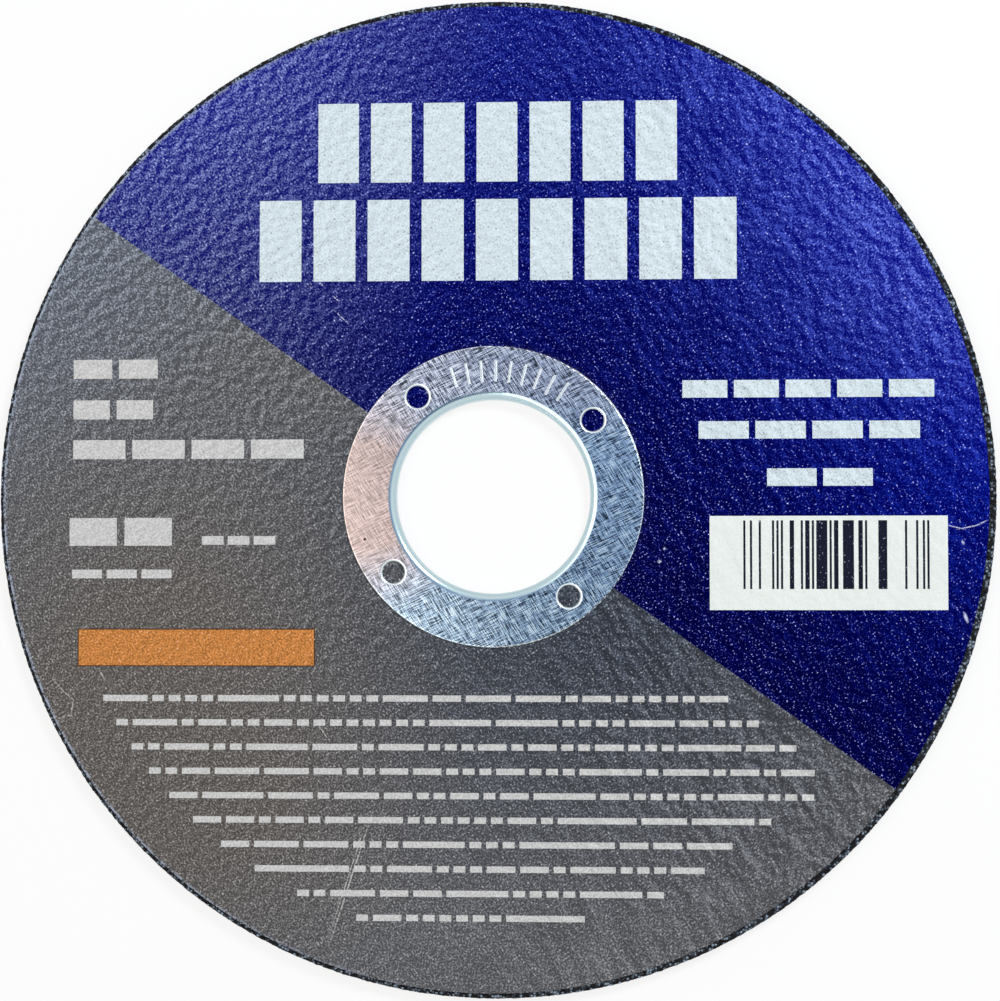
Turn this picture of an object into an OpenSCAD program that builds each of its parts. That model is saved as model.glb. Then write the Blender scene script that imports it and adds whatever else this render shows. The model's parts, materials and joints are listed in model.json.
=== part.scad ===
// Thin resin bonded cut off wheel with a paper label and a stamped steel arbor ring.
// It lies on its back, label up. The origin is on the bore's axis, at the back face.

/* [Wheel] */
// Diameter of the wheel
wheel_d = 114.3; // [100:0.1:125]
// Thickness of the wheel over its label
wheel_t = 1.6; // [1.4:0.1:3.2]
// Radius that the mould leaves along both edges of the rim
rim_edge = 0.15; // [0.05:0.05:0.3]

/* [Label] */
// Width of the bare abrasive that shows round the label
bare_band = 0.65; // [0.4:0.05:4]
// Thickness of the paper
label_t = 0.12; // [0.08:0.01:0.2]
// How far the label lies off the wheel's centre, towards -X
label_off = 0.2; // [0:0.05:0.35]
// Fall of the line between the label's two colours, in degrees from X
split_fall = 35.6; // [0:0.1:90]
// Distance of that line from the wheel's centre, towards the lower left
split_off = 0.5; // [0:0.1:20]

/* [Arbor ring] */
// Bore that goes over the spindle's arbor
bore_d = 22.23; // [20:0.01:25.4]
// Width of the ring from the bore to the flange's edge
flange_w = 6.2; // [5.5:0.1:9]
// Thickness of the sheet steel
sheet_t = 0.4; // [0.3:0.05:0.5]
// Outside radius of the bend between the flange and the neck
bend_r = 0.85; // [0.6:0.05:1]
// Height of the flange above the label
flange_proud = 0.2; // [0.1:0.05:0.3]
// Radius of the flange's upper edge
flange_edge = 0.2; // [0.05:0.05:0.3]
// Setback of the neck's end from the wheel's back face
neck_setback = 0.1; // [0:0.05:0.3]

/* [Lock holes] */
// Number of holes in the flange
lock_count = 4; // [2:1:8]
// Diameter of each hole
lock_d = 2.5; // [1.5:0.1:3]
// Distance of the holes' centres from the bore's wall
lock_in = 3.25; // [3:0.05:4]
// Angle of the first hole from X
lock_angle = 37.2; // [0:0.1:90]
// Radius of each hole's upper edge
lock_edge = 0.3; // [0.05:0.05:0.35]

/* [Net in the back face] */
// Pitch of the glass fibre strands
net_pitch = 5; // [4:0.5:10]
// Width of a strand
strand_w = 1.2; // [0.6:0.1:2]
// Height of the strands above the mix between them
net_relief = 0.08; // [0.04:0.01:0.12]
// Angle of the strands to X
net_angle = 18; // [0:1:45]
// Width of the plain land round the bore
land_w = 8.5; // [6:0.5:15]
// Width of the plain border along the rim
net_border = 1.6; // [1:0.1:5]

/* [Fits] */
// Bond line between the ring's neck and the disc
bond_gap = 0.05; // [0.02:0.01:0.08]
// Gap between the flange's edge and the foot of the label's drape
drape_gap = 0.1; // [0.05:0.05:0.3]
// Distance over which the label drapes up from its seat to the face
drape_run = 0.3; // [0.2:0.05:0.6]

/* [Hidden] */
// Facets of the large rounds and of the small ones
$fn = 160;
small_fn = 40;
wheel_r = wheel_d / 2;
bore_r = bore_d / 2;
flange_r = bore_r + flange_w;
label_r = wheel_r - bare_band;
// Levels, from the back face upwards
face_z = wheel_t - label_t;
flange_top = wheel_t + flange_proud;
seat_z = flange_top - sheet_t;
floor_z = seat_z - label_t;
// Radii where the label leaves its seat under the flange and reaches the face
drape_foot_r = flange_r + drape_gap;
drape_head_r = drape_foot_r + drape_run;
// Where the flat of the flange ends and its bend starts
bend_start_r = bore_r + bend_r;
// Hole through the disc, round the ring's neck
disc_bore_r = bore_r + sheet_t + bond_gap;
// Spare length of a cutting shape past the face that it cuts
spare = 1;

// The sliver outside an arc of radius r, at a square corner that points towards side
module corner_cut(at, r, side) {
    centre = at - r * side;
    difference() {
        translate(centre + r * (side - [1, 1]))
            square(2 * r);
        translate(centre)
            circle(r, $fn = small_fn);
    }
}

// Section of the disc: square rim with broken edges, and the flange's seat pressed into the face
module disc_section() {
    difference() {
        polygon([
            [disc_bore_r, 0],
            [wheel_r, 0],
            [wheel_r, face_z],
            [drape_head_r, face_z],
            [drape_foot_r, floor_z],
            [disc_bore_r, floor_z]
        ]);
        corner_cut([wheel_r, 0], rim_edge, [1, -1]);
        corner_cut([wheel_r, face_z], rim_edge, [1, 1]);
        corner_cut([disc_bore_r, floor_z], bend_start_r - disc_bore_r, [-1, 1]);
    }
}

// The hollows between the net's strands, one for each mesh whose middle is clear of land and border
module net_hollows() {
    inner_r = bore_r + land_w;
    outer_r = wheel_r - net_border;
    rows = ceil(outer_r / net_pitch);
    intersection() {
        difference() {
            circle(outer_r);
            circle(inner_r);
        }
        rotate(net_angle)
            for (i = [-rows : rows], j = [-rows : rows]) {
                middle = [i + 0.5, j + 0.5] * net_pitch;
                if (norm(middle) > inner_r && norm(middle) < outer_r)
                    translate(middle)
                        square(net_pitch - strand_w, center = true);
            }
    }
}

// Pressed disc of grain and resin, with the outermost net standing in its back face
module abrasive_disc() {
    color([0.16, 0.15, 0.16])
        difference() {
            rotate_extrude()
                disc_section();
            translate([0, 0, -spare])
                linear_extrude(spare + net_relief)
                    net_hollows();
        }
}

// The whole paper: flat on the face, draped down to its seat under the flange
module label_sheet() {
    reach = label_r + label_off;
    intersection() {
        rotate_extrude()
            polygon([
                [bend_start_r, floor_z],
                [drape_foot_r, floor_z],
                [drape_head_r, face_z],
                [reach, face_z],
                [reach, wheel_t],
                [drape_head_r, wheel_t],
                [drape_foot_r, seat_z],
                [bend_start_r, seat_z]
            ]);
        translate([-label_off, 0, 0])
            cylinder(r = label_r, h = wheel_t + spare);
    }
}

// The half space on the upper right of the line between the label's colours
module upper_field() {
    rotate(-split_fall)
        translate([-wheel_d, -split_off, 0])
            cube([2 * wheel_d, wheel_d, wheel_t + spare]);
}

// Printed paper in two plain fields of colour
module paper_label() {
    color([0.16, 0.13, 0.52])
        intersection() {
            label_sheet();
            upper_field();
        }
    color([0.39, 0.39, 0.4])
        difference() {
            label_sheet();
            upper_field();
        }
}

// Section of the ring: flange, rolled bend and drawn neck, all of one sheet
module ring_section() {
    difference() {
        translate([bore_r, neck_setback])
            square([flange_w, flange_top - neck_setback]);
        corner_cut([bore_r, flange_top], bend_r, [-1, 1]);
        corner_cut([flange_r, flange_top], flange_edge, [1, 1]);
        difference() {
            translate([bore_r + sheet_t, -spare])
                square([flange_w, seat_z + spare]);
            corner_cut([bore_r + sheet_t, seat_z], bend_r - sheet_t, [-1, 1]);
        }
    }
}

// Cutter for one pierced hole with a rounded upper edge
module lock_hole() {
    hole_r = lock_d / 2;
    rotate_extrude($fn = small_fn)
        union() {
            translate([0, seat_z - spare])
                square([hole_r, sheet_t + 2 * spare]);
            difference() {
                translate([0, flange_top - lock_edge])
                    square([hole_r + lock_edge, lock_edge + spare]);
                translate([hole_r + lock_edge, flange_top - lock_edge])
                    circle(lock_edge, $fn = small_fn);
            }
        }
}

// Stamped steel ring that lines the bore
module arbor_ring() {
    color([0.72, 0.73, 0.76])
        difference() {
            rotate_extrude()
                ring_section();
            for (i = [0 : lock_count - 1])
                rotate(lock_angle + i * 360 / lock_count)
                    translate([bore_r + lock_in, 0, 0])
                        lock_hole();
        }
}

abrasive_disc();
paper_label();
arbor_ring();
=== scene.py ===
import json
import math

import bmesh
import bpy
import numpy as np
from mathutils import Matrix, Vector, noise

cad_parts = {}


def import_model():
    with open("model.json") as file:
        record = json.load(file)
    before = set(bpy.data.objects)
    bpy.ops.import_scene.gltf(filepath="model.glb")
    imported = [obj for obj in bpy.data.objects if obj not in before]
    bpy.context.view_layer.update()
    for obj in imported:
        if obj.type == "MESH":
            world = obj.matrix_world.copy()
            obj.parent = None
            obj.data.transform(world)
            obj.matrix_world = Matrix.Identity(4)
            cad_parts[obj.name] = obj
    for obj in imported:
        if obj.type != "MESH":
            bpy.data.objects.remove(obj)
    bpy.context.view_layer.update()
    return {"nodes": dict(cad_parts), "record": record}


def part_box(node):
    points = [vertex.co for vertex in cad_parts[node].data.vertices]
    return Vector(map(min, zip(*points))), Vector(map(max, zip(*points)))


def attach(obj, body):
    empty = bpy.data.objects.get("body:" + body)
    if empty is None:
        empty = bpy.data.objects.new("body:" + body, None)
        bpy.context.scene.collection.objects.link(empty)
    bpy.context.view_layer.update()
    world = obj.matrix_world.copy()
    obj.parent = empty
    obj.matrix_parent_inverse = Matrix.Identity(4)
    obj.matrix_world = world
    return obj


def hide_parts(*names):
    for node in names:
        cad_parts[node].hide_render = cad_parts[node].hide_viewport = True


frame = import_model()

# Sizes here are in millimetres, and become metres where a mesh or a lamp is made.
MM = 0.001

# What the frame gives
disc_low, disc_high = (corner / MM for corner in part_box("abrasive_disc"))
label_low, label_high = (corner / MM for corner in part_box("paper_label"))
ring_low, ring_high = (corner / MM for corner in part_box("arbor_ring"))
WHEEL_R = disc_high.x
FACE_Z = disc_high.z
LABEL_Z = label_high.z
LABEL_R = (label_high.x - label_low.x) / 2
LABEL_X = (label_high.x + label_low.x) / 2
FLOOR_Z = label_low.z
PAPER = LABEL_Z - FACE_Z
SEAT_Z = FLOOR_Z + PAPER
FLANGE_R = ring_high.x
FLANGE_Z = ring_high.z
SHEET = FLANGE_Z - SEAT_Z
BORE_R = frame["record"]["mounts"][0]["dims"]["r_mm"]

# Sizes of the construction that the frame doesn't give
RIM_EDGE = 0.15
BEND_R = 0.85
BOND_GAP = 0.05
DRAPE_GAP = 0.1
DRAPE_RUN = 0.3
NET_PITCH = 5.0
STRAND_W = 1.2
NET_RELIEF = 0.08
NET_ANGLE = math.radians(18)
NET_LAND = 8.5
NET_BORDER = 1.6
LOCK_COUNT = 4
LOCK_R = 1.25
LOCK_IN = 3.25
LOCK_ANGLE = 37.2

BEND_START_R = BORE_R + BEND_R
DISC_BORE_R = BORE_R + SHEET + BOND_GAP
DRAPE_FOOT_R = FLANGE_R + DRAPE_GAP
DRAPE_HEAD_R = DRAPE_FOOT_R + DRAPE_RUN
LOCK_CIRCLE_R = BORE_R + LOCK_IN
NET_INNER_R = BORE_R + NET_LAND
NET_OUTER_R = WHEEL_R - NET_BORDER

# Points in a row round the axis, which double outwards so that the mesh stays even
FIRST_COUNT = 240
DOUBLE_AT = (19.0, 38.0)
# Edges that turn more than this stay sharp
SHARP = math.radians(48)


def smooth(value, low, high):
    """0 below low, 1 above high and a smooth rise between them."""
    t = np.clip((value - low) / (high - low), 0, 1)
    return t * t * (3 - 2 * t)


def noise_at(points, size):
    """Smooth noise from about -1 to 1 whose lumps are about size across."""
    return np.array([noise.noise(Vector(p)) for p in points / size])


def grains_at(points, size):
    """Domes of closely packed grains: 1 at a grain's middle and about 0 between grains."""
    near = [noise.voronoi(Vector(p))[0][0] for p in points / size]
    return 1 - np.clip(np.array(near), 0, 1)


def row(count, radius, height, centre_x=0.0):
    """One closed row of points round the axis."""
    turn = np.arange(count) * (2 * math.pi / count)
    x = centre_x + radius * np.cos(turn)
    y = radius * np.sin(turn)
    return np.column_stack((x, y, np.full(count, height)))


def count_at(radius):
    """How many points a row of that radius has."""
    return FIRST_COUNT * 2 ** sum(radius > r for r in DOUBLE_AT)


def spaced(start, end, step):
    """Even radii from start to end, both included, about step apart."""
    return np.linspace(start, end, max(2, round(abs(end - start) / step) + 1))


def bridge(first, second):
    """Faces between two rows of point numbers, where one row may have twice the other's points."""
    a, b = np.roll(first, -1), np.roll(second, -1)
    if len(first) == len(second):
        return np.column_stack((first, a, b, second)).tolist()
    if 2 * len(first) == len(second):
        even, odd, after = second[0::2], second[1::2], np.roll(second, -2)[0::2]
        parts = ((first, odd, even), (first, a, odd), (a, after, odd))
    else:
        even, odd, after = first[0::2], first[1::2], np.roll(first, -2)[0::2]
        parts = ((even, odd, second), (odd, b, second), (odd, after, b))
    return np.concatenate([np.column_stack(p) for p in parts]).tolist()


def skin(rows):
    """A closed mesh over rows of points that run round a section, anticlockwise as radius and height."""
    starts = np.cumsum([0] + [len(r) for r in rows])
    numbers = [np.arange(len(r)) + s for r, s in zip(rows, starts)]
    faces = []
    for i, first in enumerate(numbers):
        faces += bridge(first, numbers[(i + 1) % len(numbers)])
    return np.concatenate(rows), faces


def piece(name, points, faces, material, node, slot):
    """A new object that stands for a CAD node and rides on the wheel."""
    mesh = bpy.data.meshes.new(name)
    mesh.from_pydata((points * MM).tolist(), [], faces)
    mesh.shade_smooth()
    mesh.set_sharp_from_angle(angle=SHARP)
    mesh.materials.append(material)
    made = bpy.data.objects.new(name, mesh)
    bpy.context.scene.collection.objects.link(made)
    return dress(made, node)


def dress(made, node):
    """Lets an object ride on the wheel and stand for a CAD node."""
    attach(made, "root")
    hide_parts(node)
    return made


# Abrasive disc

# Rows up the rim, the size and depth of its grains, and the size and share of the finer grit on them
RIM_ROWS = 8
RIM_GRAIN = 0.45
RIM_DEPTH = 0.10
RIM_GRIT = 0.25
RIM_GRIT_SHARE = 0.4
# The gritty border that shows round the label: its width, the step between its rows and its depth
BORDER_W = 1.2
BORDER_STEP = 0.22
BORDER_DEPTH = 0.12
# The back face: the step between its rows, half the share of its height that a strand loses where it
# passes under another, the run over which the net fades out, the size and depth of the grit, and how far
# the grit changes the hollows' depth
BACK_STEP = 0.5
WEAVE = 0.2
NET_FADE = 0.5
BACK_GRIT = 0.9
BACK_GRIT_DEPTH = 0.02
HOLLOW_SPREAD = 0.5


def strand_height(points):
    """Height of the net in the back face, from 0 in a hollow to 1 on a strand that passes over."""
    c, s = math.cos(NET_ANGLE), math.sin(NET_ANGLE)
    u = (points[:, 0] * c + points[:, 1] * s) / NET_PITCH
    v = (points[:, 1] * c - points[:, 0] * s) / NET_PITCH
    best = np.zeros(len(points))
    for across, along, side in ((u, v, 1), (v, u, -1)):
        nearest = np.round(across)
        off = np.abs(across - nearest) * NET_PITCH / (STRAND_W / 2)
        rise = 1 - WEAVE + WEAVE * side * np.cos(math.pi * (along + nearest))
        best = np.maximum(best, rise * np.sqrt(np.clip(1 - off**4, 0, 1)))
    r = np.hypot(points[:, 0], points[:, 1])
    past_land = smooth(r, NET_INNER_R - NET_FADE, NET_INNER_R)
    in_border = smooth(r, NET_OUTER_R, NET_OUTER_R + NET_FADE)
    return np.maximum(best, 1 - past_land * (1 - in_border))


def rough_back(points):
    """The back face: strands at the bottom, and gritty hollows between them."""
    hollow = 1 - strand_height(points)
    grit = 0.5 + 0.5 * noise_at(points, BACK_GRIT)
    depth = NET_RELIEF * (1 + HOLLOW_SPREAD * (grit - 0.5))
    points[:, 2] = hollow * depth + BACK_GRIT_DEPTH * grit
    return points


def rough_rim(points, depth):
    """Pulls the rim's points in between its grains."""
    r = np.hypot(points[:, 0], points[:, 1])
    pull = depth * (1 - grains_at(points, RIM_GRAIN) + RIM_GRIT_SHARE * noise_at(points, RIM_GRIT))
    points[:, :2] *= (1 - np.clip(pull, 0, None) / r)[:, None]
    return points


def disc_rows():
    """The disc's section: back face, rim, gritty border, the face under the label and the ring's seat."""
    rim_count = 2 * count_at(WHEEL_R)
    rows = [
        rough_back(row(count_at(r), r, 0))
        for r in spaced(DISC_BORE_R, WHEEL_R - 3 * RIM_EDGE, BACK_STEP)
    ]
    rows.append(rough_back(row(rim_count, WHEEL_R - RIM_EDGE, 0)))
    for z in np.linspace(RIM_EDGE, FACE_Z - RIM_EDGE, RIM_ROWS):
        rows.append(rough_rim(row(rim_count, WHEEL_R, z), RIM_DEPTH))
    for r in spaced(WHEEL_R - RIM_EDGE, WHEEL_R - BORDER_W, BORDER_STEP):
        border = row(rim_count, r, FACE_Z)
        border[:, 2] -= BORDER_DEPTH * (1 - grains_at(border, RIM_GRAIN))
        rows.append(rough_rim(border, RIM_DEPTH / 2))
    for r in (WHEEL_R - 2 * BORDER_W, DOUBLE_AT[1], DRAPE_HEAD_R):
        rows.append(row(count_at(r), r, FACE_Z))
    for r in (DRAPE_FOOT_R, BEND_START_R):
        rows.append(row(FIRST_COUNT, r, FLOOR_Z))
    bend = BEND_START_R - DISC_BORE_R
    rows.append(row(FIRST_COUNT, DISC_BORE_R, FLOOR_Z - bend))
    return rows


# Paper label

# Step between the label's rows, the rows under it, those on its drape as shares of the drape's run, and
# how far those in its seat lie from the flange's edge and from the bore
LABEL_STEP = 0.345
UNDER_R = (28.0, 45.0)
DRAPE_AT = (0.75, 0.5, 0.25, 0.0)
SEAT_FROM_EDGE = 1.2
SEAT_FROM_BORE = 2.0
# Relief: size and depth of the lumps
LUMP = 1.1
LUMP_DEPTH = 0.03
# Streaks over the strands: their width, length, direction and depth, how strong they are at the left, and
# where they grow towards the right
STREAK_W = 1.2
STREAK_L = 6.0
STREAK_WAY = math.radians(-57)
STREAK_DEPTH = 0.04
STREAK_LEFT = 0.1
STREAK_FROM = (-10, 35)
# Grains under the paper: their size, depth and middle height
UNDER_GRAIN = 0.8
UNDER_DEPTH = 0.03
UNDER_LEVEL = 0.6
# Run over which the relief comes in from the drape
RELIEF_RUN = 1.2


def paper_height(points):
    """Relief of the paper, pressed over the grain and the strands under it."""
    flat = points * (1, 1, 0)
    c, s = math.cos(STREAK_WAY), math.sin(STREAK_WAY)
    along = (flat[:, 0] * c + flat[:, 1] * s) / STREAK_L
    across = (flat[:, 1] * c - flat[:, 0] * s) / STREAK_W
    streaks = noise_at(np.column_stack((along, across, np.zeros(len(flat)))), 1)
    streaks = streaks * (STREAK_LEFT + (1 - STREAK_LEFT) * smooth(flat[:, 0], *STREAK_FROM))
    lumps = noise_at(flat, LUMP)
    grains = grains_at(flat, UNDER_GRAIN) - UNDER_LEVEL
    r = np.hypot(flat[:, 0], flat[:, 1])
    free = smooth(r, DRAPE_HEAD_R, DRAPE_HEAD_R + RELIEF_RUN)
    return free * (STREAK_DEPTH * streaks + LUMP_DEPTH * lumps + UNDER_DEPTH * grains)


def label_rows():
    """The label's section: its underside, its edge, its upper face with the relief, and its drape."""
    rows = [row(FIRST_COUNT, r, FLOOR_Z) for r in (BEND_START_R, DRAPE_FOOT_R)]
    rows.append(row(FIRST_COUNT, DRAPE_HEAD_R, FACE_Z))
    for r in (*UNDER_R, LABEL_R):
        rows.append(row(count_at(r), r, FACE_Z, LABEL_X * smooth(r, DRAPE_HEAD_R, LABEL_R)))
    for r in spaced(LABEL_R, DRAPE_HEAD_R, LABEL_STEP):
        top = row(count_at(r), r, LABEL_Z, LABEL_X * smooth(r, DRAPE_HEAD_R, LABEL_R))
        top[:, 2] += paper_height(top)
        rows.append(top)
    for t in DRAPE_AT:
        r = DRAPE_FOOT_R + t * DRAPE_RUN
        rows.append(row(FIRST_COUNT, r, SEAT_Z + (LABEL_Z - SEAT_Z) * smooth(t, 0, 1)))
    for r in (FLANGE_R - SEAT_FROM_EDGE, BORE_R + SEAT_FROM_BORE, BEND_START_R):
        rows.append(row(FIRST_COUNT, r, SEAT_Z))
    return rows


# Arbor ring, with a short row of plain punched strokes between two of its holes

# Number of strokes, the angle that they span, their length and width at the top, the width of their foot,
# their depth, and the direction of their middle
STROKES = 9
STROKE_SPAN = math.radians(52)
STROKE_L = 2.5
STROKE_W = 0.36
STROKE_FOOT = 0.04
STROKE_DEPTH = 0.12
STROKE_MIDDLE = math.radians(LOCK_ANGLE + 180 / LOCK_COUNT)
# Faces of a block whose four lower corners come first
BLOCK_FACES = ((3, 2, 1, 0), (4, 5, 6, 7), (0, 1, 5, 4), (1, 2, 6, 5), (2, 3, 7, 6), (3, 0, 4, 7))
# How far the flange's top falls from the bend to its outer edge
DISH = 0.09
# Points closer than this are one, and a face whose normal is this close to Z is level
WELD = 0.0005
LEVEL = 0.999


def stroke_cutter():
    """Blocks for the punched strokes, each along a radius of the ring."""
    points, faces = [], []
    low, high = FLANGE_Z - STROKE_DEPTH, FLANGE_Z + STROKE_DEPTH
    for turn in np.linspace(-STROKE_SPAN / 2, STROKE_SPAN / 2, STROKES):
        c, s = math.cos(STROKE_MIDDLE + turn), math.sin(STROKE_MIDDLE + turn)
        first = len(points)
        for z, half in ((low, STROKE_FOOT / 2), (high, STROKE_W - STROKE_FOOT / 2)):
            for end, side in ((-1, -1), (1, -1), (1, 1), (-1, 1)):
                r = LOCK_CIRCLE_R + end * (STROKE_L / 2 - STROKE_W / 2 + half)
                t = side * half
                points.append((r * c - t * s, r * s + t * c, z))
        for quad in BLOCK_FACES:
            faces.append([first + i for i in quad])
    mesh = bpy.data.meshes.new("stroke_cutter")
    mesh.from_pydata((np.array(points) * MM).tolist(), [], faces)
    return mesh


def welded(source):
    """A copy of a mesh with the points that lie together joined, so that it is closed."""
    shape = bmesh.new()
    shape.from_mesh(source)
    bmesh.ops.remove_doubles(shape, verts=shape.verts, dist=WELD * MM)
    mesh = bpy.data.meshes.new("zinc_ring")
    shape.to_mesh(mesh)
    shape.free()
    if "custom_normal" in mesh.attributes:
        mesh.attributes.remove(mesh.attributes["custom_normal"])
    return mesh


def pressed(mesh):
    """Lowers the flange's top a little towards its edge, and parts its shading from the bend's."""
    shape = bmesh.new()
    shape.from_mesh(mesh)
    for point in shape.verts:
        x, y, z = point.co / MM
        if z > FLANGE_Z - SHEET / 2:
            out = (math.hypot(x, y) - BEND_START_R) / (FLANGE_R - BEND_START_R)
            point.co.z -= DISH * MM * max(0.0, out)
    shape.normal_update()
    for face in shape.faces:
        face.smooth = True
    for edge in shape.edges:
        levels = [abs(face.normal.z) > LEVEL for face in edge.link_faces]
        edge.smooth = edge.calc_face_angle(0.0) < SHARP / 2 and levels.count(True) != 1
    shape.to_mesh(mesh)
    shape.free()


def cut_ring(material):
    """The CAD ring's own shape with the strokes cut into its flange."""
    made = bpy.data.objects.new("zinc_ring", welded(frame["nodes"]["arbor_ring"].data))
    cutter = bpy.data.objects.new("stroke_cutter", stroke_cutter())
    for o in (made, cutter):
        bpy.context.scene.collection.objects.link(o)
    cut = made.modifiers.new("strokes", "BOOLEAN")
    cut.operation = "DIFFERENCE"
    cut.solver = "EXACT"
    cut.object = cutter
    graph = bpy.context.evaluated_depsgraph_get()
    whole = bpy.data.meshes.new_from_object(made.evaluated_get(graph))
    made.modifiers.clear()
    made.data = whole
    bpy.data.objects.remove(cutter)
    whole.materials.clear()
    whole.materials.append(material)
    pressed(whole)
    return dress(made, "arbor_ring")


# Material formulas


class Wire:
    """A node's output, which can take part in sums so that a pattern reads as a formula."""

    def __init__(self, tree, socket):
        self.tree = tree
        self.socket = socket

    def maths(self, operation, *others, clamp=False):
        """One step of a formula, with this output as its first value."""
        made = self.tree.nodes.new("ShaderNodeMath")
        made.operation = operation
        made.use_clamp = clamp
        for value, socket in zip((self, *others), made.inputs):
            plug(self.tree, value, socket)
        return Wire(self.tree, made.outputs[0])

    def __add__(self, other):
        return self.maths("ADD", other)

    def __sub__(self, other):
        return self.maths("SUBTRACT", other)

    def __mul__(self, other):
        return self.maths("MULTIPLY", other)

    def rise(self, low, high):
        """0 below low and 1 above high."""
        return self.maths("MULTIPLY_ADD", 1 / (high - low), low / (low - high), clamp=True)

    def near(self, middle, half):
        """1 within half of middle and 0 beyond."""
        return self.maths("COMPARE", middle, half)

    def within(self, middle, half, soft):
        """1 within half of middle and 0 beyond, with an edge soft wide."""
        return (self - middle).maths("ABSOLUTE").rise(half + soft / 2, half - soft / 2)

    def either(self, other):
        """The stronger of two patterns."""
        return self.maths("MAXIMUM", other)


def plug(tree, value, socket):
    """Links a Wire to a socket, or sets the socket to a plain value."""
    if isinstance(value, Wire):
        tree.links.new(value.socket, socket)
    else:
        socket.default_value = value


def either(parts, way="MAXIMUM"):
    """The strongest of several patterns, or the least of several distances."""
    first, *others = parts
    for other in others:
        first = first.maths(way, other)
    return first


def blend_colour(tree, share, first, second, way="MIX"):
    """Colours mixed by share, each a Wire or red, green and blue."""
    made = tree.nodes.new("ShaderNodeMix")
    made.data_type = "RGBA"
    made.blend_type = way
    plug(tree, share, made.inputs["Factor"])
    for value, socket in ((first, made.inputs[6]), (second, made.inputs[7])):
        plug(tree, value if isinstance(value, Wire) else (*value, 1), socket)
    return Wire(tree, made.outputs[2])


class Finish:
    """One material and the patterns that feed it, in millimetres of the wheel's own frame."""

    def __init__(self, name, flat=False, **plain):
        self.dimensions = "2D" if flat else "3D"
        self.material = bpy.data.materials.new(name)
        self.material.use_nodes = True
        self.tree = self.material.node_tree
        self.shader = self.tree.nodes["Principled BSDF"]
        for socket, value in plain.items():
            self.shader.inputs[socket.replace("_", " ")].default_value = value
        place = self.tree.nodes.new("ShaderNodeTexCoord")
        scale = self.tree.nodes.new("ShaderNodeVectorMath")
        scale.operation = "SCALE"
        scale.inputs["Scale"].default_value = 1 / MM
        self.tree.links.new(place.outputs["Object"], scale.inputs[0])
        self.place = Wire(self.tree, scale.outputs[0])
        apart = self.tree.nodes.new("ShaderNodeSeparateXYZ")
        self.tree.links.new(scale.outputs[0], apart.inputs[0])
        self.x, self.y, self.z = (Wire(self.tree, out) for out in apart.outputs)
        self.plan = self.at(self.x, self.y, 0.0)
        self.radius = self.away(0, 0)

    def away(self, x, y, place=None):
        """Distance in plan from a point, or in other coordinates."""
        made = self.tree.nodes.new("ShaderNodeVectorMath")
        made.operation = "DISTANCE"
        plug(self.tree, place or self.plan, made.inputs[0])
        made.inputs[1].default_value = (x, y, 0)
        return Wire(self.tree, made.outputs["Value"])

    def along(self, x, y):
        """Distance along the direction x, y."""
        made = self.tree.nodes.new("ShaderNodeVectorMath")
        made.operation = "DOT_PRODUCT"
        plug(self.tree, self.place, made.inputs[0])
        made.inputs[1].default_value = (x, y, 0)
        return Wire(self.tree, made.outputs["Value"])

    def turned(self, degrees):
        """Coordinates along and across a direction."""
        c, s = math.cos(math.radians(degrees)), math.sin(math.radians(degrees))
        return self.along(c, s), self.along(-s, c)

    def at(self, x, y, z):
        """A place made of three values."""
        made = self.tree.nodes.new("ShaderNodeCombineXYZ")
        for value, socket in zip((x, y, z), made.inputs):
            plug(self.tree, value, socket)
        return Wire(self.tree, made.outputs[0])

    def noise(self, size, detail=2.0, place=None):
        """Smooth noise from 0 to 1, with lumps about size across."""
        made = self.tree.nodes.new("ShaderNodeTexNoise")
        made.noise_dimensions = self.dimensions
        plug(self.tree, place or self.place, made.inputs["Vector"])
        made.inputs["Scale"].default_value = 1 / size
        made.inputs["Detail"].default_value = detail
        return Wire(self.tree, made.outputs["Fac"])

    def cells(self, size, place=None):
        """Distance from the nearest grain's middle, and a value that each grain has for itself."""
        made = self.tree.nodes.new("ShaderNodeTexVoronoi")
        made.voronoi_dimensions = self.dimensions
        plug(self.tree, place or self.place, made.inputs["Vector"])
        made.inputs["Scale"].default_value = 1 / size
        apart = self.tree.nodes.new("ShaderNodeSeparateColor")
        self.tree.links.new(made.outputs["Color"], apart.inputs[0])
        return Wire(self.tree, made.outputs["Distance"]), Wire(self.tree, apart.outputs[0])

    def hash(self, place):
        """A random value from 0 to 1 for each place."""
        made = self.tree.nodes.new("ShaderNodeTexWhiteNoise")
        plug(self.tree, place, made.inputs["Vector"])
        return Wire(self.tree, made.outputs["Value"])

    def mix(self, share, first, second, way="MIX"):
        """Colours mixed in this material."""
        return blend_colour(self.tree, share, first, second, way)

    def shade(self, colour, tone):
        """A colour made lighter or darker by tone."""
        grey = self.at(tone, tone, tone)
        return self.mix(1.0, colour, grey, "MULTIPLY")

    def set(self, socket, value):
        """Feeds one of the shader's sockets."""
        plug(self.tree, value, self.shader.inputs[socket])

    def bump(self, height, depth, strength=1.0):
        """Fine relief, height from 0 to 1 standing for depth."""
        made = self.tree.nodes.new("ShaderNodeBump")
        made.inputs["Strength"].default_value = strength
        made.inputs["Distance"].default_value = depth * MM
        plug(self.tree, height, made.inputs["Height"])
        self.tree.links.new(made.outputs["Normal"], self.shader.inputs["Normal"])


# Abrasive

RESIN = (0.003, 0.003, 0.004)
GRAIN = (0.030, 0.036, 0.046)
# Pale grains, partly painted glints
PALE_GRAIN_GLINT = (0.30, 0.38, 0.47)
STRAND = (0.060, 0.054, 0.042)
# Each grain's own value decides how far it shows through the resin and whether it is pale. A pale grain is
# partly a painted glint, and fades towards its edge.
GRAIN_SIZE = 0.32
GRAIN_SHOWS = (0.3, 0.8)
GRAIN_PALE_GLINT = (0.5, 0.8)
PALE_GLINT_FADE = (0.6, 0.3)
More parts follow.
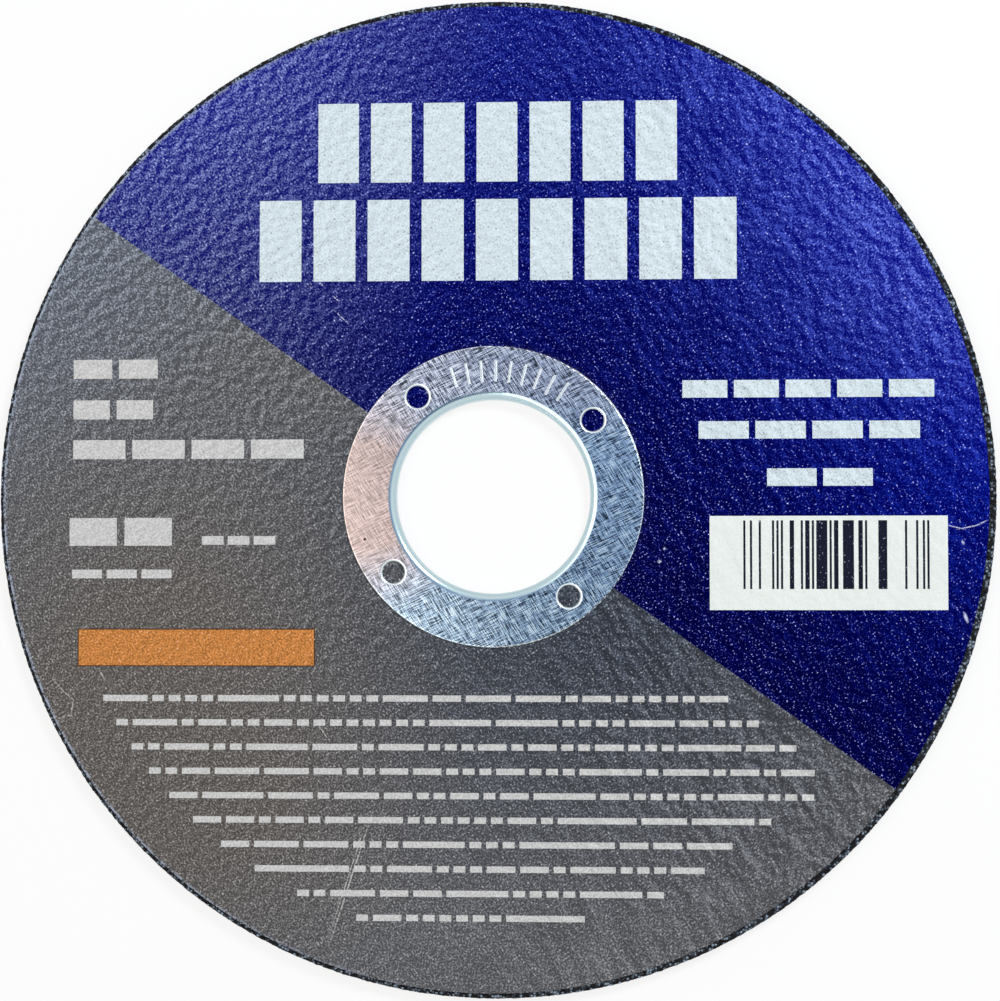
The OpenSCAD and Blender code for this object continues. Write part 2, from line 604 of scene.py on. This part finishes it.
# Dust: its size, how its noise spreads, the darkest tone that it leaves and its share of the relief
DUST_SIZE = 0.12
DUST_SPREAD = (0.2, 0.8)
DUST_DARK = 0.5
DUST_RELIEF = 0.35
# Fine relief and roughness of the grains
GRAIN_DOME = (0.7, 0.0)
GRAIN_DEPTH = 0.16
GRAIN_STRENGTH = 0.9
GRAIN_ROUGH = (-0.5, 1.4)
GRAIN_ROUGH_LEAST = 0.1
# Strands: the soft edges of the net's ring, the height below which it shows, the soft edges of a strand,
# how many fibres lie in a millimetre across and along it, how their tone spreads, and how strong it is
NET_SOFT = 0.6
NET_BELOW = (0.4, 0.2)
STRAND_FADE = (STRAND_W / 2 + 0.1, STRAND_W / 2 - 0.15)
FIBRE_ACROSS = 9.0
FIBRE_ALONG = 0.35
FIBRE_SPREAD = (0.25, 0.6)
STRAND_SHARE = 0.75


def net_strands(f):
    """1 on the strands that show in the back face."""
    middle, half = (NET_OUTER_R + NET_INNER_R) / 2, (NET_OUTER_R - NET_INNER_R) / 2
    netted = f.radius.within(middle, half, NET_SOFT) * f.z.rise(*NET_BELOW)
    along, across = f.turned(math.degrees(NET_ANGLE))
    strands = []
    for a, b in ((along, across), (across, along)):
        off = (a * (1 / NET_PITCH)).maths("PINGPONG", 0.5) * NET_PITCH
        fibres = f.noise(1.0, 2, f.at(a * FIBRE_ACROSS, b * FIBRE_ALONG, 0.0))
        strands.append(off.rise(*STRAND_FADE) * fibres.rise(*FIBRE_SPREAD))
    return either(strands) * netted


def abrasive_finish():
    """Dark resin with grey grains and pale grains that are partly painted glints, and the glass fibre net
    in the back face.
    """
    f = Finish("bonded_grain", Specular_IOR_Level=0.12)
    far, own = f.cells(GRAIN_SIZE)
    dust = f.noise(DUST_SIZE, 3)
    colour = f.mix(own.rise(*GRAIN_SHOWS), RESIN, GRAIN)
    colour = f.mix(own.rise(*GRAIN_PALE_GLINT) * far.rise(*PALE_GLINT_FADE), colour, PALE_GRAIN_GLINT)
    colour = f.shade(colour, dust.rise(*DUST_SPREAD) + DUST_DARK)
    f.set("Base Color", f.mix(net_strands(f) * STRAND_SHARE, colour, STRAND))
    f.set("Roughness", own.rise(*GRAIN_ROUGH) + GRAIN_ROUGH_LEAST)
    f.bump(far.rise(*GRAIN_DOME) + dust * DUST_RELIEF, GRAIN_DEPTH, GRAIN_STRENGTH)
    return f.material


# Label print, in millimetres from the wheel's centre

# Soft edge of the ink, and the direction and distance of the slanted line between the two fields
INK_SOFT = 0.05
SPLIT_FALL = -35.6
SPLIT_OFF = -0.5
# Blue ink where no painted light falls, and where the painted light is full
BLUE_DEEP = (0.0002, 0.0005, 0.053)
BLUE_BRIGHT = (0.003, 0.011, 0.31)
# Painted sheen over the lightest blue
BLUE_PAINTED_SHEEN = (0.20, 0.25, 0.60)
# Painted glints over the blue
BLUE_PAINTED_GLINT = (0.25, 0.28, 0.90)
# Grey ink in the deepest painted shade, under painted warm light, plain, and under painted cold light
GREY_DEEP = (0.048, 0.056, 0.074)
GREY_WARM_LIGHT = (0.124, 0.113, 0.105)
GREY_COOL = (0.120, 0.122, 0.130)
GREY_COLD_LIGHT = (0.140, 0.155, 0.187)
# Painted glints over the grey
GREY_PAINTED_GLINT = (0.42, 0.41, 0.40)
# Painted reflection over the blue at the left
PAINTED_REFLECTION = (0.23, 0.25, 0.26)
WHITE = (0.80, 0.84, 0.80)
BOLD_WHITE = (0.63, 0.72, 0.76)
PALE = (0.58, 0.58, 0.57)
ORANGE = (0.56, 0.22, 0.060)
BROWN = (0.06, 0.03, 0.015)
PIT = (0.22, 0.25, 0.30)
# Scratches and flecks over the blue and the grey, the flecks partly painted glints
BLUE_SCUFF_AND_GLINT = (0.70, 0.74, 0.95)
GREY_SCUFF_AND_GLINT = (0.62, 0.61, 0.59)
# A pale line along the label's edge
PALE_EDGE_COLOUR = (0.34, 0.39, 0.48)
BLACK = (0.012, 0.014, 0.028)
# Two places off the label from which painted light, the reflections of two windows, spreads over the blue,
# and how far from each it ends and is full
BLUE_LIGHT_AT = ((100.0, 70.5), (-40.5, 60.5))
BLUE_LIGHT_TO = ((118.0, 70.0), (85.0, 13.0))
# How strong the painted sheen over the lightest blue is, and the height over which it comes in
PAINTED_SHEEN_SHARE = 0.13
PAINTED_SHEEN_FROM = (0.0, 20.0)
# A painted reflection over the blue at the left: the direction in which it grows, where, and how strong it
# gets
PAINTED_REFLECTION_WAY = 165
PAINTED_REFLECTION_FROM = (13.0, 37.0)
PAINTED_REFLECTION_SHARE = 0.165
# Painted shade and light over the grey: where the painted shade is deepest, how far from there the grey is
# lit and how much faster so along Y, where a painted warm light lies, and the direction in which a painted
# cold light comes in
GREY_SHADE_AT = (14.0, -14.0)
GREY_SHADE_TO = (6.0, 50.0)
GREY_SHADE_TALL = 1.3
GREY_WARM_LIGHT_AT = (-36.0, -26.0)
GREY_WARM_LIGHT_TO = (34.0, 14.0)
GREY_COLD_LIGHT_WAY = 120
GREY_COLD_LIGHT_FROM = (27.0, 47.0)
# Painted shade and painted light: shares of a field's own colour on the dark and the light side of the
# paper's lumps
BLUE_SHADE_AND_LIGHT = ((0.12, 0.12, 0.66), (3.6, 3.6, 2.0))
GREY_SHADE_AND_LIGHT = ((0.56, 0.56, 0.56), (2.3, 2.3, 2.3))
# Rows of bars: middle x, middle y, half height, how many, their width and the gap between them
BOLD_ROWS = ((0.45, 40.8, 4.6, 7, 4.7, 1.4), (0.45, 29.5, 4.7, 9, 4.85, 1.4))
WHITE_ROWS = (
    (35.9, 12.2, 1.0, 5, 5.1, 0.75),
    (36.0, 7.5, 1.0, 4, 5.7, 0.75),
    (37.2, 2.1, 1.0, 2, 5.6, 0.75),
)
PALE_ROWS = (
    (-43.7, 14.8, 1.1, 2, 4.5, 0.8),
    (-43.95, 10.1, 1.1, 2, 4.25, 0.8),
    (-35.2, 5.5, 1.1, 4, 6.1, 0.8),
    (-43.0, -4.0, 1.6, 2, 5.5, 0.9),
    (-29.3, -5.0, 0.5, 3, 2.5, 0.5),
    (-42.85, -8.85, 0.5, 3, 3.5, 0.55),
)
# Rectangles by middle and half sizes: the white panel, the stripes on it and the orange band
PANEL = (38.13, -7.65, 13.44, 5.35)
BARS = (39.2, -6.72, 10.7, 3.9)
BAND = (-34.18, -17.3, 13.75, 2.17)
# Width of a stripe, the seed of their pattern and the share of it that is white
BAR_CELL = 0.25
BAR_SEED = 7.0
BAR_WHITE = 0.5
# Width of the dark line round the band
BAND_EDGE = 0.12
# How much the lumps' painted light and shade reach the large print, the panel, the small print and the
# band, and how low the fine grain lies where it leaves a pit in the white
BOLD_TONE = 0.07
PANEL_TONE = 0.02
PALE_TONE = 0.1
ORANGE_TONE = 0.2
PIT_FROM = (-0.24, -0.31)
# Paragraph: first row, row pitch, rows, half height, the circle and slant that end its rows, and the
# length and share of the gaps between its dashes
TEXT_TOP = -23.1
TEXT_PITCH = 2.77
TEXT_ROWS = 10
TEXT_HALF = 0.36
TEXT_R = 50.5
TEXT_RAGGED = 4.5
TEXT_CLEAR = 4.5
TEXT_CELL = 1.9
TEXT_GAP = 0.55
TEXT_GAPS = 0.55
# Scratches, chips and hairs: middle x, middle y, half length, half width and direction
SCRATCHES = (
    (-21.2, 24.3, 0.35, 0.05, -45),
    (-19.8, 24.5, 0.25, 0.06, -50),
    (-18.1, 22.8, 0.42, 0.06, -40),
    (-17.5, 20.7, 0.95, 0.05, -43),
    (-16.2, -43.5, 6.4, 0.07, 72),
    (-16.6, -43.6, 5.6, 0.05, 72),
    (52.35, -3.60, 0.95, 0.06, -14),
    (53.95, -3.60, 1.10, 0.06, 12),
    (55.25, -3.20, 0.70, 0.06, 25),
    (53.26, -5.36, 0.25, 0.12, 115),
    (53.53, -13.85, 0.55, 0.16, 110),
    (50.88, -24.92, 0.30, 0.12, 70),
    (49.97, -25.71, 0.22, 0.10, 60),
    (18.99, -7.48, 0.20, 0.16, 0),
    (19.56, -6.00, 0.15, 0.12, 45),
    (-45.1, -20.4, 0.7, 0.06, -61),
    (-50.0, -21.8, 1.0, 0.04, -49),
    (-49.0, -22.8, 0.8, 0.04, -39),
    (-48.5, -24.1, 0.8, 0.05, 81),
    (-49.5, -25.3, 1.1, 0.05, 14),
    (-19.5, -26.9, 0.8, 0.06, -55),
)
# Their soft edge, the fine grain that breaks them up, the height of the fine grain that shows as a fleck,
# and how strong all of them are. The flecks are partly dust and partly painted glints.
MARK_EDGE = (1.5, 0.5)
MARK_BREAK = (-0.2, 0.0)
FLECK_FROM = (0.24, 0.34)
MARK_SHARE = 0.85
# A pale line along the label's edge: its width, where it grows towards the left, and how its patches come
# in
PALE_EDGE_W = 0.34
PALE_EDGE_SIDE = (-5.0, -50.0)
PALE_EDGE_PATCH = (0.35, 0.55)
# Painted light and shade of the varnished paper's lumps: the step over which its lumps catch the light,
# where the light's direction turns from the upper left to the upper right, how far below the slanted line
# the lumps fade, and the size of the fine grain
LIT_STEP = 0.12
LIT_TURN = (-20.0, 20.0)
LUMP_FADE = (-30.0, 0.0)
FINE_GRAIN = 0.22
# What the lumps add to the painted tone of light and shade where they have faded, how much more where they
# haven't, what the fine grain and the streaks add, and the range of tone from the dark side to the light
# side
LUMP_TONE_LEAST = 3
LUMP_TONE_MORE = 5
FINE_TONE = 9
STREAK_TONE = 3
TONE_RANGE = (-2, 2)
# Painted glints: the lumps' share in them, the height of the fine grain at which they come in, how strong
# they are and what they lose towards the right
GLINT_SLOPE = 0.3
GLINT_FROM = (0.10, 0.28)
GLINT_SHARE = 0.5
GLINT_LOSS = 0.25
GLINT_LOSS_FROM = (20, 50)
# Varnish: its least roughness and what the lumps add, and the depth of its fine relief
VARNISH_ROUGH = 0.1
VARNISH_ROUGH_MORE = 0.2
VARNISH_DEPTH = 0.015


def box(f, place):
    """1 inside a rectangle given by its middle and half sizes."""
    x, y, half_x, half_y = place
    return f.x.near(x, half_x) * f.y.near(y, half_y)


def bar_row(f, bars):
    """1 inside the bars of a row."""
    x, y, half_y, count, width, gap = bars
    pitch = width + gap
    start = x - (count * pitch - gap) / 2
    run = (f.x - start) * (1 / pitch)
    bar = run.maths("FRACT").near(width / pitch / 2, width / pitch / 2)
    return bar * run.near(count / 2, count / 2) * f.y.near(y, half_y)


def paragraph(f):
    """Rows of small dashes from a circle's left side to its right, or short of the slanted line."""
    line = (f.y * -1 + TEXT_TOP) * (1 / TEXT_PITCH) + 0.5
    number = line.maths("FLOOR")
    inside = line.maths("FRACT").near(0.5, TEXT_HALF / TEXT_PITCH)
    row_y = number * -TEXT_PITCH + TEXT_TOP
    reach = (row_y * row_y * -1 + TEXT_R**2).maths("SQRT")
    slant_end = row_y * (1 / math.tan(math.radians(SPLIT_FALL))) - TEXT_CLEAR
    end = (reach - f.hash(f.at(number, 0.0, 0.0)) * TEXT_RAGGED).maths("MINIMUM", slant_end)
    run = (f.x + reach) * (1 / TEXT_CELL)
    cell = run.maths("FLOOR")
    last = ((end + reach) * (1 / TEXT_CELL)).maths("FLOOR")
    gap = f.hash(f.at(cell, number, 0.0)).maths("LESS_THAN", TEXT_GAPS)
    cell_end = run.maths("FRACT").maths("GREATER_THAN", 1 - TEXT_GAP / TEXT_CELL)
    ink = gap * cell_end * -1 + 1
    held = cell.maths("GREATER_THAN", -0.5) * (last - cell).maths("GREATER_THAN", 0.5)
    return inside * ink * held * line.near(TEXT_ROWS / 2, TEXT_ROWS / 2)


def scratch(f, mark):
    """Distance from the middle of a thin mark that tapers to both ends, 1 along its outline."""
    x, y, half_length, half_width, way = mark
    c, s = math.cos(math.radians(way)), math.sin(math.radians(way))
    along = f.along(c / half_length, s / half_length)
    across = f.along(-s / half_width, c / half_width)
    middle = (x * c + y * s) / half_length, (y * c - x * s) / half_width
    return f.away(*middle, f.at(along, across, 0.0))


def upper_side(f):
    """1 above the slanted line between the colours."""
    return f.turned(SPLIT_FALL)[1].rise(SPLIT_OFF - INK_SOFT / 2, SPLIT_OFF + INK_SOFT / 2)


def blue_field(f):
    """The upper field's ink under painted light from two places, and how much light is painted there, with
    a painted sheen over the lightest blue and a painted reflection at the left.
    """
    first, second = (f.away(*at).rise(*to) for at, to in zip(BLUE_LIGHT_AT, BLUE_LIGHT_TO))
    light = (first * first + second * second).maths("MINIMUM", 1.0)
    painted_sheen = light * light * f.y.rise(*PAINTED_SHEEN_FROM) * PAINTED_SHEEN_SHARE
    ink = f.mix(painted_sheen, f.mix(light, BLUE_DEEP, BLUE_BRIGHT), BLUE_PAINTED_SHEEN)
    return light, f.mix(f.turned(PAINTED_REFLECTION_WAY)[0].rise(*PAINTED_REFLECTION_FROM) * PAINTED_REFLECTION_SHARE, ink, PAINTED_REFLECTION)


def grey_field(f):
    """The lower field's ink under painted shade and painted light, and how much light is painted there:
    warm at the lower left, cold at the upper left.
    """
    x, y = GREY_SHADE_AT
    light = f.away(x, y * GREY_SHADE_TALL, f.at(f.x, f.y * GREY_SHADE_TALL, 0.0)).rise(*GREY_SHADE_TO)
    pale = f.mix(f.turned(GREY_COLD_LIGHT_WAY)[0].rise(*GREY_COLD_LIGHT_FROM), GREY_COOL, GREY_COLD_LIGHT)
    ink = f.mix(light, GREY_DEEP, pale)
    return light, f.mix(f.away(*GREY_WARM_LIGHT_AT).rise(*GREY_WARM_LIGHT_TO) * light, ink, GREY_WARM_LIGHT)


def label_field(f, upper, lit, spark):
    """Blue above the slanted line and grey below, with painted light and shade over the lumps and painted
    glints where the field is dark.
    """
    (grey_light, grey), (blue_light, blue) = grey_field(f), blue_field(f)
    dark_side, light_side = (f.mix(upper, a, b) for a, b in zip(GREY_SHADE_AND_LIGHT, BLUE_SHADE_AND_LIGHT))
    facing, glint = lit.rise(*TONE_RANGE), spark.rise(*GLINT_FROM)
    tone = f.mix(facing * facing, dark_side, light_side)
    ink = f.mix(1.0, f.mix(upper, grey, blue), tone, "MULTIPLY")
    dark = (grey_light - blue_light) * upper - grey_light + 1
    share = f.x.rise(*GLINT_LOSS_FROM) * -GLINT_LOSS + GLINT_SHARE
    return f.mix(glint * glint * dark * share, ink, f.mix(upper, GREY_PAINTED_GLINT, BLUE_PAINTED_GLINT))


def label_print(f, ink, lit, spark):
    """White, black and orange print over the field, as plain shapes with the paper's grain and the lumps'
    painted light and shade in them.
    """
    bold = f.mix(spark.rise(*PIT_FROM), f.shade(BOLD_WHITE, lit * BOLD_TONE + 1), PIT)
    ink = f.mix(either([bar_row(f, bars) for bars in BOLD_ROWS + WHITE_ROWS]), ink, bold)
    ink = f.mix(box(f, PANEL), ink, f.shade(WHITE, lit * PANEL_TONE + 1))
    cell = (f.x * (1 / BAR_CELL)).maths("FLOOR")
    bars = f.hash(f.at(cell, BAR_SEED, 0.0)).maths("GREATER_THAN", BAR_WHITE) * box(f, BARS)
    ink = f.mix(bars, ink, BLACK)
    pale = f.shade(PALE, lit * PALE_TONE + 1)
    ink = f.mix(either([bar_row(f, bars) for bars in PALE_ROWS] + [paragraph(f)]), ink, pale)
    x, y, half_x, half_y = BAND
    ink = f.mix(box(f, BAND), ink, BROWN)
    orange = f.shade(ORANGE, lit * ORANGE_TONE + 1)
    return f.mix(box(f, (x, y, half_x - BAND_EDGE, half_y - BAND_EDGE)), ink, orange)


def label_wear(f, upper, ink, lumps, fine, spark):
    """Scratches, chips, hairs and flecks over the print, the flecks partly painted glints, and a pale line
    along the label's edge.
    """
    marks = either([scratch(f, mark) for mark in SCRATCHES], "MINIMUM")
    marks = marks.rise(*MARK_EDGE) * fine.rise(*MARK_BREAK)
    marks = marks.either(spark.rise(*FLECK_FROM)) * MARK_SHARE
    ink = f.mix(marks, ink, f.mix(upper, GREY_SCUFF_AND_GLINT, BLUE_SCUFF_AND_GLINT))
    edge = f.away(LABEL_X, 0).rise(LABEL_R - PALE_EDGE_W, LABEL_R - PALE_EDGE_W / 2)
    edge = edge * f.x.rise(*PALE_EDGE_SIDE) * (lumps + fine).rise(*PALE_EDGE_PATCH)
    return f.mix(edge, ink, PALE_EDGE_COLOUR)


def label_finish():
    """Printed and varnished paper, with the light and shade that its lumps and fine grain catch painted
    into its colour.
    """
    f = Finish("printed_paper", flat=True, Specular_IOR_Level=0.02)
    c, s = math.cos(STREAK_WAY), math.sin(STREAK_WAY)
    along, across = f.along(c, s), f.along(-s, c)
    right = f.x.rise(*LIT_TURN)
    lean = right * 2 - 1
    to_along, to_across = lean * c + s, lean * -s + c
    lumps, shifted = (
        f.noise(LUMP, 3, f.at(along + to_along * step, across + to_across * step, 0.0))
        for step in (-LIT_STEP, LIT_STEP)
    )
    streaks = f.noise(1, 1, f.at(along * (1 / STREAK_L), across * (1 / STREAK_W), 0.0)) - 0.5
    fine = f.noise(FINE_GRAIN, 1, f.at(along, across, 0.0)) - 0.5
    slope = lumps - shifted
    lumpy = f.turned(SPLIT_FALL)[1].rise(*LUMP_FADE) * LUMP_TONE_MORE + LUMP_TONE_LEAST
    lit = slope * lumpy + fine * FINE_TONE + streaks * right * STREAK_TONE
    spark = slope * GLINT_SLOPE + fine
    upper = upper_side(f)
    ink = label_print(f, label_field(f, upper, lit, spark), lit, spark)
    f.set("Base Color", label_wear(f, upper, ink, lumps, fine, spark))
    f.set("Roughness", lumps * VARNISH_ROUGH_MORE + VARNISH_ROUGH)
    f.bump(lumps, VARNISH_DEPTH)
    return f.material


# Zinc

ZINC = (0.48, 0.62, 0.76)
# Painted warm reflection at the left
ZINC_PINK_REFLECTION = (0.65, 0.50, 0.45)
# Painted lavender reflection upwards
ZINC_LAVENDER_REFLECTION = (0.56, 0.58, 0.66)
# Painted reflection on the bend
ZINC_BEND_REFLECTION = (0.50, 0.64, 0.68)
# Painted highlight on the pressed edges and round the holes
ZINC_EDGE_HIGHLIGHT = (0.78, 0.84, 0.86)
ZINC_SPECK = (0.03, 0.03, 0.03)
# Where a painted lavender reflection comes in upwards, where a painted warm reflection lies, how far from
# there that ends and is full, and the place and radius of a dark speck
LAVENDER_FROM = (6, 12)
PINK_AT = (-15.0, 0.0)
PINK_TO = (14.0, 6.0)
SPECK_AT = (-14.7, -4.9)
SPECK_R = 0.22
# Fine rolling and brushing marks: their two directions, pitch and length
HATCH_WAYS = (25, -58)
HATCH_PITCH = 0.135
HATCH_LENGTH = 1.6
# Patches in which one direction or the other leads: their size, how their noise spreads, and the first
# direction's least share and what a patch adds to it
PATCH_SIZE = 4
PATCH_SPREAD = (0.35, 0.65)
PATCH_LEAST = 0.3
PATCH_MORE = 0.4
# How the marks spread, how much they darken and lighten, what the painted warm reflection takes from them,
# and their depth
HATCH_SPREAD = (0.36, 0.64)
HATCH_TONE = 0.9
HATCH_LOSS = 0.6
HATCH_DEPTH = 0.01
# Roughness, what the marks add to it and how that spreads
ZINC_ROUGH = 0.18
ZINC_ROUGH_MORE = 0.1
ZINC_ROUGH_SPREAD = (0.3, 0.7)
# Pressed edges, smooth and with a painted highlight: how far they lie below the flange's top, how wide the
# smooth metal is round the holes, and half the width over which the bend, with its painted reflection,
# takes over from the flange
EDGE_FALL = (0.015, 0.05)
HALO_W = 0.32
BEND_SOFT = 0.1


def hatch_marks(f):
    """Marks in two directions, which lead in turn from patch to patch."""
    first, second = (
        f.noise(1, 1, f.at(along * (1 / HATCH_LENGTH), across * (1 / HATCH_PITCH), 0.0))
        for along, across in map(f.turned, HATCH_WAYS)
    )
    share = f.noise(PATCH_SIZE, 1).rise(*PATCH_SPREAD) * PATCH_MORE + PATCH_LEAST
    return (first - second) * share + second


def pressed_edges(f):
    """1 round the holes and where the flange's edges fall away, where the zinc is smooth and has a painted
    highlight.
    """
    turns = (math.radians(LOCK_ANGLE + 360 / LOCK_COUNT * i) for i in range(LOCK_COUNT))
    holes = [f.away(LOCK_CIRCLE_R * math.cos(t), LOCK_CIRCLE_R * math.sin(t)) for t in turns]
    halo = either([hole.rise(LOCK_R + HALO_W, LOCK_R + HALO_W / 2) for hole in holes])
    top = f.radius.rise(BEND_START_R, FLANGE_R) * -DISH + FLANGE_Z
    return halo.either((top - f.z).rise(*EDGE_FALL))


def zinc_finish():
    """Zinc plate with brushing marks on the flange, smooth on its edges and on the bend, with painted
    reflections at the left, upwards and on the bend, and a painted highlight on its edges.
    """
    f = Finish("zinc_plate", flat=True, Metallic=1.0)
    # warm: where the painted warm reflection lies
    warm = f.away(*PINK_AT).rise(*PINK_TO)
    colour = f.mix(f.y.rise(*LAVENDER_FROM), ZINC, ZINC_LAVENDER_REFLECTION)
    colour = f.mix(warm, colour, ZINC_PINK_REFLECTION)
    hatch = hatch_marks(f)
    edge = pressed_edges(f)
    flat = f.radius.rise(BEND_START_R - BEND_SOFT, BEND_START_R + BEND_SOFT)
    marked = flat * (edge * -1 + 1) * (warm * -HATCH_LOSS + 1)
    tone = hatch.rise(*HATCH_SPREAD) * 2 - 1
    colour = f.shade(colour, tone * marked * HATCH_TONE + 1)
    colour = f.mix(flat, ZINC_BEND_REFLECTION, f.mix(edge, colour, ZINC_EDGE_HIGHLIGHT))
    speck = f.away(*SPECK_AT).rise(SPECK_R, SPECK_R / 2)
    f.set("Base Color", f.mix(speck, colour, ZINC_SPECK))
    f.set("Roughness", hatch.rise(*ZINC_ROUGH_SPREAD) * flat * ZINC_ROUGH_MORE + ZINC_ROUGH)
    f.bump(hatch * marked, HATCH_DEPTH)
    return f.material


# Stage

# Half the floor's side in metres, how far it lies below the wheel, its colour, and the share of plain white
# in it where it is seen
FLOOR_HALF = 1.5
FLOOR_DROP = 0.02
FLOOR_PAPER = (0.93, 0.93, 0.93, 1)
SEEN_WHITE = 0.8


def seen_directly(tree):
    """1 for camera, glossy and transmitted rays."""
    path = tree.nodes.new("ShaderNodeLightPath")
    seen = Wire(tree, path.outputs["Is Camera Ray"])
    seen = seen.either(Wire(tree, path.outputs["Is Glossy Ray"]))
    return seen.either(Wire(tree, path.outputs["Is Transmission Ray"]))


def floor():
    """White paper that shows the wheel's shadow faintly."""
    material = bpy.data.materials.new("floor_paper")
    material.use_nodes = True
    tree = material.node_tree
    shader = tree.nodes["Principled BSDF"]
    shader.inputs["Base Color"].default_value = FLOOR_PAPER
    shader.inputs["Roughness"].default_value = 1.0
    glow = tree.nodes.new("ShaderNodeEmission")
    blend = tree.nodes.new("ShaderNodeMixShader")
    plug(tree, seen_directly(tree) * SEEN_WHITE, blend.inputs[0])
    tree.links.new(shader.outputs[0], blend.inputs[1])
    tree.links.new(glow.outputs[0], blend.inputs[2])
    tree.links.new(blend.outputs[0], tree.nodes["Material Output"].inputs["Surface"])
    sides = ((-1, -1), (1, -1), (1, 1), (-1, 1))
    corners = [(x * FLOOR_HALF, y * FLOOR_HALF, -FLOOR_DROP * MM) for x, y in sides]
    mesh = bpy.data.meshes.new("floor")
    mesh.from_pydata(corners, [], [(0, 1, 2, 3)])
    mesh.materials.append(material)
    made = bpy.data.objects.new("floor", mesh)
    bpy.context.scene.collection.objects.link(made)


# The room's light, and where it turns from warm to cool
WORLD_WARM = (0.44, 0.41, 0.38)
WORLD_COOL = (0.38, 0.42, 0.48)
WORLD_TURN = (-0.8, 0.8)
# The room as it is seen: its walls, the dark and the light side of its ceiling, how high the ceiling
# starts, and the direction and place in which it turns light
SEEN_WALL = (1, 1, 1)
SEEN_TOP = (0.06, 0.13, 0.23)
SEEN_SKY = (0.34, 0.44, 0.66)
CEILING_FROM = (0.86, 0.97)
SKY_SIDE = (0.77, 0.64)
SKY_FROM = (0.0, 0.08)


def world():
    """Soft room light, warm on the left and cool on the right, seen as white walls and a dim ceiling."""
    made = bpy.data.worlds.new("room")
    bpy.context.scene.world = made
    made.use_nodes = True
    tree = made.node_tree
    place = tree.nodes.new("ShaderNodeTexCoord")
    apart = tree.nodes.new("ShaderNodeSeparateXYZ")
    tree.links.new(place.outputs["Generated"], apart.inputs[0])
    x, y, z = (Wire(tree, out) for out in apart.outputs)
    lit = blend_colour(tree, (x + y).rise(*WORLD_TURN), WORLD_WARM, WORLD_COOL)
    side = x * SKY_SIDE[0] + y * SKY_SIDE[1]
    top = blend_colour(tree, side.rise(*SKY_FROM), SEEN_TOP, SEEN_SKY)
    seen = blend_colour(tree, z.rise(*CEILING_FROM), SEEN_WALL, top)
    colour = blend_colour(tree, seen_directly(tree), lit, seen)
    plug(tree, colour, tree.nodes["Background"].inputs["Color"])


def lamp(name, place, size, power, colour):
    """A soft rectangular light that faces the wheel's middle."""
    data = bpy.data.lights.new(name, "AREA")
    data.shape = "RECTANGLE"
    data.size, data.size_y = (s * MM for s in size)
    data.energy = power
    data.color = colour
    made = bpy.data.objects.new(name, data)
    made.location = Vector(place) * MM
    made.rotation_euler = Vector(place).to_track_quat("Z", "Y").to_euler()
    bpy.context.scene.collection.objects.link(made)


# Camera, fitted to the photograph's outline, ring and holes, and the nearest distance that it shows
IMAGE_W = 1000
SENSOR_W = 36.0
EYE_DISTANCE = 300.0
EYE_TILT = math.radians(4.23)
EYE_WAY = math.radians(-34.6)
FOCAL_PX = 2609.0
LOOK_AT = (0.71, -0.42, 0.0)
NEAR = 10.0


def camera():
    """A camera above the wheel, tilted a little, with Y upwards in its picture."""
    level = EYE_DISTANCE * math.sin(EYE_TILT)
    height = EYE_DISTANCE * math.cos(EYE_TILT)
    eye = Vector((level * math.cos(EYE_WAY), level * math.sin(EYE_WAY), height))
    back = (eye - Vector(LOOK_AT)).normalized()
    right = Vector((0, 1, 0)).cross(back).normalized()
    up = back.cross(right)
    data = bpy.data.cameras.new("camera")
    data.sensor_fit = "HORIZONTAL"
    data.sensor_width = SENSOR_W
    data.lens = FOCAL_PX * SENSOR_W / IMAGE_W
    data.clip_start = NEAR * MM
    made = bpy.data.objects.new("camera", data)
    turn = Matrix((right, up, back)).transposed().to_4x4()
    made.matrix_world = Matrix.Translation(eye * MM) @ turn
    bpy.context.scene.collection.objects.link(made)
    bpy.context.scene.camera = made


piece("grit_disc", *skin(disc_rows()), abrasive_finish(), "abrasive_disc", "abrasive")
piece("print_label", *skin(label_rows()), label_finish(), "paper_label", "label")
cut_ring(zinc_finish())
floor()
world()
lamp("window", place=(255, 275, 345), size=(150, 150), power=1.45, colour=(0.90, 0.95, 1.0))
lamp("panel", place=(-255, -66, 500), size=(600, 400), power=1.2, colour=(1.0, 0.94, 0.88))
camera()
bpy.context.scene.view_settings.view_transform = "Standard"
